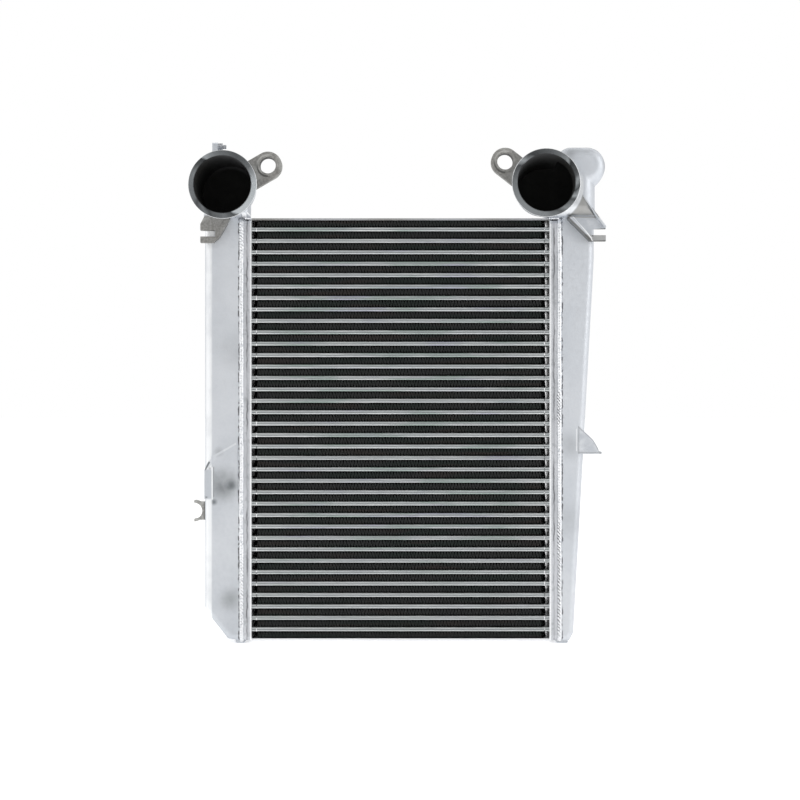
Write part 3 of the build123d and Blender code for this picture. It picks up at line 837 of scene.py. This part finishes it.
def offset_line(line, amount):
    """The same outline moved sideways by an amount."""
    run = np.roll(line, -1, axis=0) - np.roll(line, 1, axis=0)
    run[0] = line[1] - line[0]
    run[-1] = line[-1] - line[-2]
    normal = np.stack([-run[:, 1], run[:, 0]], axis=1)
    normal /= np.linalg.norm(normal, axis=1)[:, None]
    return line + normal * amount


def fin_strip(width, depth, runs, left, front):
    """A strip folded into waves that also swing from side to side on their way back."""
    swing = fin_wave / 2
    line = fin_line(width - 2 * swing, fin_height - fin_sheet)
    loop = np.concatenate([offset_line(line, fin_sheet / 2), offset_line(line, -fin_sheet / 2)[::-1]])
    count = len(loop)
    vertices = []
    for ring in range(runs + 1):
        shift = swing * (1 if ring % 2 else -1)
        y = front + depth * ring / runs
        vertices += [(left + x + swing + shift, y, z + fin_sheet / 2) for x, z in loop]
    faces = []
    for low in range(0, runs * count, count):
        high = low + count
        faces += [(low + i, low + (i + 1) % count, high + (i + 1) % count, high + i) for i in range(count)]
    for low in (0, runs * count):
        for i in range(count // 2 - 1):
            quad = (low + i, low + i + 1, low + count - 2 - i, low + count - 1 - i)
            faces.append(quad if low == 0 else quad[::-1])
    return vertices, faces


def fin_rows(material):
    """Every row is a narrow strip in front of a wider one, which leaves a dark gap at its ends."""
    width = fins_high.x - fins_low.x
    depth = fins_high.y - fins_low.y
    front = fin_strip(width - 2 * fin_front_inset, fin_front_depth, fin_front_runs, fin_front_inset, 0.0)
    back = fin_strip(width, depth - fin_front_depth, fin_back_runs, 0.0, fin_front_depth)
    mesh = new_mesh("fin_row", *joined([front, back]), material)
    floors = [tube_low.z - fin_height] + [high.z for _, high in tube_boxes]
    for number, z in enumerate(floors, start=1):
        add_piece(f"fin_row_{number:02d}", mesh, ["fin_packs"], at=(fins_low.x, fins_low.y, z))


# ---- tubes ----
# A quarter of a drawn tube's outline in millimetres: inset from the nose, rise from the middle.
nose_shape = ((4.4, 3.5), (2.6, 3.42), (1.3, 3.1), (0.45, 2.5), (0.05, 1.7), (0.0, 1.1), (0.25, 0.4))
collar_width = 0.0013
collar_rise = 0.0004
collar_inset = 0.0062


def tube_outline(grow=0.0):
    """Closed outline of a drawn tube in Y and Z about its middle."""
    half_depth = (tube_high.y - tube_low.y) / 2
    scale = tube_height / 2 / nose_shape[0][1]
    front = [(-half_depth + inset * scale - grow, rise * scale + grow) for inset, rise in nose_shape]
    front += [(y, -z) for y, z in reversed(front)]
    return front + [(-y, -z) for y, z in front]


def tubes(material, collar):
    """Drawn tubes, each with a collar of braze near both headers."""
    collars = []
    for name in tube_names:
        low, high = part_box(name)
        middle = (low + high) / 2
        mesh = new_mesh(f"{name}_drawn", *swept(tube_outline(), low.x, high.x, middle), material)
        add_piece(f"{name}_drawn", mesh, [name])
        for start in (core_left + collar_inset, core_right - collar_inset - collar_width):
            collars.append(swept(tube_outline(collar_rise), start, start + collar_width, middle))
    add_piece("tube_collars", new_mesh("tube_collars", *joined(collars), collar))


# ---- weld beads ----
bead_corner = 0.009
bead_pitch = 0.0042
bead_samples = 9
bead_across = 12
bead_sink = 0.0012
bead_wander = 0.0004
bead_width = (0.88, 0.10)
bead_ripple = (0.16, 0.40)
bead_crest = 0.89
bead_uneven = 0.10
bead_crown = 0.55
bead_bow = 0.9
bead_slant = (0.5, 0.8)


def loop_runs(half_depth, half_height):
    """Straight sides and quarter turns of a rounded rectangle, with their lengths."""
    arc = math.pi / 2 * bead_corner
    upright = 2 * (half_height - bead_corner)
    level = 2 * (half_depth - bead_corner)
    return [("line", upright), ("arc", arc), ("line", level), ("arc", arc)] * 2


def loop_point(runs, distance, straight_y, straight_z):
    """Point and outward normal at a distance round a rounded rectangle in Y and Z."""
    starts = ((-1, -1), (-1, 1), (1, 1), (1, -1))
    for index, (kind, length) in enumerate(runs):
        if distance <= length:
            break
        distance -= length
    side = index // 2
    turn = side * math.pi / 2
    along = np.array((math.sin(turn), math.cos(turn)))
    out = np.array((-math.cos(turn), math.sin(turn)))
    if kind == "line":
        return np.array(starts[side]) * (straight_y, straight_z) + out * bead_corner + along * distance, out
    angle = distance / bead_corner
    normal = out * math.cos(angle) + along * math.sin(angle)
    return np.array(starts[(side + 1) % 4]) * (straight_y, straight_z) + normal * bead_corner, normal


def smooth_noise(count, knots, rng):
    """Values from -1 to 1 that drift smoothly round a closed loop."""
    values = rng.uniform(-1, 1, knots)
    at = np.arange(count) * knots / count
    low = np.floor(at).astype(int)
    part = at - low
    part = part * part * (3 - 2 * part)
    return values[low % knots] * (1 - part) + values[(low + 1) % knots] * part


def ripple_depth(side, z):
    """How deep the ripples are at a height: strong along the coarse stretches."""
    fine, coarse = bead_ripple
    return fine + coarse * sum(math.exp(-(((z - at) / reach) ** 2)) for at, reach in coarse_runs[side])


def bead_rise(u, phase, strong, tall):
    """Height of the bead as a share of its peak, at a place across it from -1 to 1."""
    ripple = abs(math.sin(math.pi * phase))
    crown = max(0.0, 1 - u * u) ** bead_crown
    return crown * (bead_crest - strong + bead_uneven * tall + strong * ripple)


def bead_vertices(side, rng):
    """Cross sections of the rippled bead, one after another round the header's rim."""
    low, high = welds[side]
    header_low, header_high = headers[side]
    half = (header_high - header_low) / 2
    middle = np.array(((header_low.y + header_high.y) / 2, (header_low.z + header_high.z) / 2))
    middle_x = (low.x + high.x) / 2
    peak = header_low.y - low.y
    runs = loop_runs(half.y, half.z)
    total = sum(length for _, length in runs)
    ripples = round(total / bead_pitch)
    count = ripples * bead_samples
    knots = (ripples // 2, ripples, ripples // 5, ripples // 24)
    wide, tall, wander, skew = (smooth_noise(count, number, rng) for number in knots)
    vertices = []
    for i in range(count):
        distance = total * i / count
        point, normal = loop_point(runs, distance, half.y - bead_corner, half.z - bead_corner)
        point = point + middle
        strong = ripple_depth(side, point[1])
        half_width = (high.x - low.x) / 2 * (bead_width[0] + bead_width[1] * wide[i])
        for u in np.linspace(-1, 1, bead_across + 1):
            slant = (bead_slant[0] + skew[i]) * u * bead_slant[1]
            phase = distance / bead_pitch + bead_bow * u * u + slant
            rise = peak * bead_rise(u, phase, strong, tall[i]) - bead_sink * (abs(u) == 1)
            vertices.append((middle_x + half_width * u + bead_wander * wander[i], *(point + normal * rise)))
    return vertices


def weld_bead(side, material, seed):
    """Rippled bead round a header's rim."""
    vertices = bead_vertices(side, np.random.default_rng(seed))
    across = bead_across + 1
    faces = []
    for here in range(0, len(vertices), across):
        ahead = (here + across) % len(vertices)
        faces += [(here + j, here + j + 1, ahead + j + 1, ahead + j) for j in range(bead_across)]
    mesh = new_mesh(f"{side}_weld_bead_rippled", vertices, faces, material)
    mesh.shade_smooth()
    add_piece(f"{side}_weld_bead_rippled", mesh, [f"{side}_weld_bead"])


# ---- tank castings ----
elbow_turn = 0.16
elbow_pull = 0.017
shoulder_overhang = 0.0183
free_from = {"left": 0.002, "right": 0.005}
free_to = {"left": 0.012, "right": 0.025}
fan_rays = 12
ray_start = 0.0005
walled_share = 0.6
bore_slack = 0.0012


def ramp(value, low, high):
    part = min(max((value - low) / (high - low), 0.0), 1.0)
    return part * part * (3 - 2 * part)


def eased(point, side):
    """Elbow behind the neck drawn in towards its tank, and the right shoulder made rounder."""
    if point.z < header_top - 0.0005:
        return point
    port = ports[side]
    inward = toward_core[side]
    seam_x = headers[side][0 if side == "left" else 1].x
    free = ramp(inward * (point.x - seam_x), free_from[side], free_to[side])
    depth = min(max((point.y - elbow_side_front) / (tank_back - elbow_side_front), 0.0), 1.0)
    centre = Vector((port.x - inward * elbow_pull, point.y, port.z + elbow_pull))
    moved = point + (centre - point) * elbow_turn * depth * free
    if side == "right":
        body = ramp(point.y, elbow_front, elbow_side_front)
        moved.z -= shoulder_drop * body * ramp(point.z, port.z, shoulder_top)
        moved.x -= shoulder_trim * body * ramp(point.x, shoulder_edge - shoulder_overhang, shoulder_edge)
    return moved


def walled_in(tree, polygon):
    """Share of a fan of rays from a face that meet the casting itself."""
    normal = polygon.normal
    start = polygon.center + normal * ray_start
    lean = normal.orthogonal().normalized()
    turns = [Quaternion(normal, 2 * math.pi * step / fan_rays) for step in range(fan_rays)]
    fan = [normal] + [(normal + turn @ lean).normalized() for turn in turns]
    return sum(tree.ray_cast(start, ray)[0] is not None for ray in fan) / len(fan)


def in_cavity(tree, polygon, port):
    """Faces behind the lip that look at the bore's axis or into the hollow of the tank."""
    centre = polygon.center
    inward = Vector((port.x - centre.x, 0, port.z - centre.z))
    in_bore = inward.length < port_bore + bore_slack and polygon.normal.dot(inward) > 0
    return centre.y > port_face + ring_depth and (in_bore or walled_in(tree, polygon) > walled_share)


def tank_casting(side, material, cavity):
    """The tank's own form with its elbow eased."""
    source = frame["nodes"][f"{side}_tank"]
    mesh = source.data.copy()
    mesh.transform(source.matrix_world)
    tree = BVHTree.FromPolygons([v.co for v in mesh.vertices], [tuple(p.vertices) for p in mesh.polygons])
    dark = [int(in_cavity(tree, polygon, ports[side])) for polygon in mesh.polygons]
    for vertex in mesh.vertices:
        vertex.co = eased(vertex.co.copy(), side)
    mesh.materials.clear()
    mesh.materials.append(material)
    mesh.materials.append(cavity)
    mesh.polygons.foreach_set("material_index", dark)
    add_piece(f"{side}_tank_casting", mesh, [f"{side}_tank"])


# ---- small welds, fork lip and shelf ----
lump_turns = 14
lump_rings = 7
lump_uneven = (0.92, 1.06)
lump_sizes = (0.85, 1.15)
lip_half = 0.0009
lip_depths = (elbow_front - 0.0016, elbow_front + 0.006)
shelf_sheet = 0.0035
gusset_sheet = 0.0045
shelf_flush = 0.0002

# Short welds between the elbows and the headers: both ends, number of lumps and their radius.
weld_runs = (
    (on_tank(245.5, 218.3), on_tank(250.5, 218.3), 4, 0.0017),
    (on_tank(549.5, 218.3), on_tank(558.5, 218.3), 6, 0.0018),
)


def lump(centre, radius, rng):
    """A lump of weld: an uneven ball, a little deeper than it is wide."""
    vertices, faces = [], []
    for ring in range(1, lump_rings):
        tilt = math.pi * ring / lump_rings
        for step in range(lump_turns):
            turn = 2 * math.pi * step / lump_turns
            out = radius * rng.uniform(*lump_uneven) * math.sin(tilt)
            offset = Vector((out * math.cos(turn), 1.1 * out * math.sin(turn), radius * math.cos(tilt)))
            vertices.append(centre + offset)
    last = (lump_rings - 2) * lump_turns
    top, foot = len(vertices), len(vertices) + 1
    vertices += [centre + Vector((0, 0, radius)), centre - Vector((0, 0, radius))]
    for step in range(lump_turns):
        after = (step + 1) % lump_turns
        faces += [(top, step, after), (foot, last + after, last + step)]
        for low in range(0, last, lump_turns):
            high = low + lump_turns
            faces.append((low + step, high + step, high + after, low + after))
    return vertices, faces


def port_welds(material):
    """Short runs of weld between the elbows and the tops of the headers."""
    rng = np.random.default_rng(21)
    lumps = []
    for start, end, count, radius in weld_runs:
        for index in range(count):
            size = radius * rng.uniform(*lump_sizes)
            lumps.append(lump(start.lerp(end, index / (count - 1)), size, rng))
    mesh = new_mesh("port_welds", *joined(lumps), material)
    mesh.shade_smooth()
    add_piece("port_welds", mesh)


def fork_lip(material):
    """Thin straight lip under the right elbow."""
    start, end = lip_line
    across = Vector((start.z - end.z, 0, end.x - start.x)).normalized() * lip_half
    corners = (start - across, end - across, end + across, start + across)
    solid = prism([(corner.x, corner.z) for corner in corners], *lip_depths)
    add_piece("right_fork_lip", new_mesh("right_fork_lip", *solid, material))


def shelf_bracket(material):
    """Shelf on the right tank with a bowed gusset at each end, flush with the tank's faces."""
    low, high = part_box("shelf_bracket")
    front, back = tank_front - shelf_flush, tank_back + shelf_flush
    root = gusset_root
    floor = low.z + shelf_sheet
    bow = [(at.x, at.z) for at in gusset_edge]
    outline = [(root.x, floor), (bow[0][0], floor), *bow, (root.x, root.z)]
    shelf = [(root.x, low.z), (high.x, low.z), (high.x, floor), (root.x, floor)]
    solids = [
        prism(outline, front, front + gusset_sheet),
        prism(outline, back - gusset_sheet, back),
        prism(shelf, front, back),
    ]
    mesh = new_mesh("shelf_bracket_plate", *joined(solids), material)
    add_piece("shelf_bracket_plate", mesh, ["shelf_bracket"])


# ---- set, light and camera ----
floor_half = 30.0
floor_glow = 0.52
world_front = 0.40
world_side = 0.66
world_top = 0.30
backdrop_edge = 4.0

# Soft lamps: place, size and watts.
lamps = {
    "key": ((-1.6, -1.9, 1.9), (1.6, 1.2), 7.0),
    "fill": ((1.9, -1.6, 1.2), (1.2, 1.6), 9.0),
    "top": ((0.0, 0.3, 2.4), (2.4, 1.2), 9.0),
}


def floor_material():
    """Pale floor that keeps its shadow and reaches white where it is lit."""
    m = new_nodes("floor")
    m.link(m.mix(m.drift(2.0), FLOOR, shaded(FLOOR, 0.99)), m.shader.inputs["Base Color"])
    m.shader.inputs["Roughness"].default_value = 0.9
    m.shader.inputs["Specular IOR Level"].default_value = 0.0
    rays = m.add("ShaderNodeLightPath").outputs
    glow = m.add("ShaderNodeEmission")
    seen = m.largest(rays["Is Camera Ray"], rays["Is Glossy Ray"], rays["Is Transmission Ray"])
    m.link(m.product(seen, floor_glow), glow.inputs["Strength"])
    both = m.add("ShaderNodeAddShader")
    m.link(m.shader.outputs["BSDF"], both.inputs[0])
    m.link(glow.outputs["Emission"], both.inputs[1])
    m.link(both.outputs["Shader"], m.tree.nodes["Material Output"].inputs["Surface"])
    return m.owner


def make_floor():
    corners = [(x * floor_half, y * floor_half, 0) for x, y in ((-1, -1), (1, -1), (1, 1), (-1, 1))]
    floor = bpy.data.objects.new("floor", new_mesh("floor", corners, [(0, 1, 2, 3)], floor_material()))
    bpy.context.scene.collection.objects.link(floor)


def make_world():
    """Soft studio light, paler at the sides and above.

    The camera sees white, and so do metal and glass in the half behind the object.
    """
    world = bpy.data.worlds.new("studio")
    bpy.context.scene.world = world
    m = Nodes(world, "Generated")
    x, y, z = m.axes()
    sideways = m.math("POWER", m.math("ABSOLUTE", x), 2.0)
    level = m.math("MULTIPLY_ADD", sideways, world_side, world_front)
    level = m.math("MULTIPLY_ADD", m.largest(z, 0.0), world_top, level)
    rays = m.add("ShaderNodeLightPath").outputs
    mirrored = m.largest(rays["Is Glossy Ray"], rays["Is Transmission Ray"])
    behind = m.math("MINIMUM", m.largest(m.product(y, backdrop_edge), 0.0), 1.0)
    shown = m.largest(rays["Is Camera Ray"], m.product(mirrored, behind))
    background = m.tree.nodes["Background"]
    background.inputs["Color"].default_value = (1.0, 1.0, 1.0, 1.0)
    m.link(m.mix(shown, level, 1.0, kind="FLOAT"), background.inputs["Strength"])


def make_lamps():
    middle = Vector((core_middle, core_front, camera_z))
    for name, (place, size, watts) in lamps.items():
        lamp = bpy.data.lights.new(name, "AREA")
        lamp.shape = "RECTANGLE"
        lamp.size, lamp.size_y = size
        lamp.energy = watts
        holder = bpy.data.objects.new(name, lamp)
        holder.location = place
        holder.rotation_euler = (middle - Vector(place)).to_track_quat("-Z", "Y").to_euler()
        bpy.context.scene.collection.objects.link(holder)


def make_camera():
    half_view = photo_side_px / 2 * metre_per_px / camera_distance
    data = bpy.data.cameras.new("camera")
    data.sensor_width = camera_sensor
    data.lens = camera_sensor / 2 / half_view
    camera = bpy.data.objects.new("camera", data)
    camera.location = (camera_x, core_front - camera_distance, camera_z)
    camera.rotation_euler = (math.pi / 2, 0, 0)
    bpy.context.scene.collection.objects.link(camera)
    bpy.context.scene.camera = camera


# ---- build ----
def paint(material, *nodes):
    """Gives carried-over CAD nodes their material."""
    for node in nodes:
        for slot in frame["nodes"][node].material_slots:
            slot.material = material


cast = {side: cast_material(side) for side in sides}
weld = {side: weld_material(side) for side in sides}
plain_cast = plain_cast_material()
steel = steel_material()
for side in sides:
    paint(cast[side], f"{side}_tank")
    paint(header_material(side), f"{side}_header")
    paint(eye_material(side), f"{side}_eye_lug")
# the top plate is painted darker as shade and the bottom plate near white as light; both are the same sheet
# metal
paint(side_plate_material("side_plate_top_shaded", ROUGH_CAST, HEADER), "top_side_plate")
paint(side_plate_material("side_plate_bottom_lit", CAST_WHITE, WELD), "bottom_side_plate")
paint(rough_material(), "left_fork_bracket")
paint(right_fork_material(), "right_fork_bracket")
paint(saddle_material(), "pipe_saddle")
paint(plain_cast, "stud_lug", "left_foot", "right_foot")
paint(steel, "stud", "flange_nut")

fin_rows(fin_material())
for side in sides:
    tank_casting(side, cast[side], cavity_material(side))
port_welds(weld["left"])
fork_lip(plain_cast)
shelf_bracket(shelf_material())
tubes(tube_material(), collar_material())
weld_bead("left", weld["left"], seed=3)
weld_bead("right", weld["right"], seed=8)
make_floor()
make_world()
make_lamps()
make_camera()
bpy.context.scene.view_settings.view_transform = "Standard"
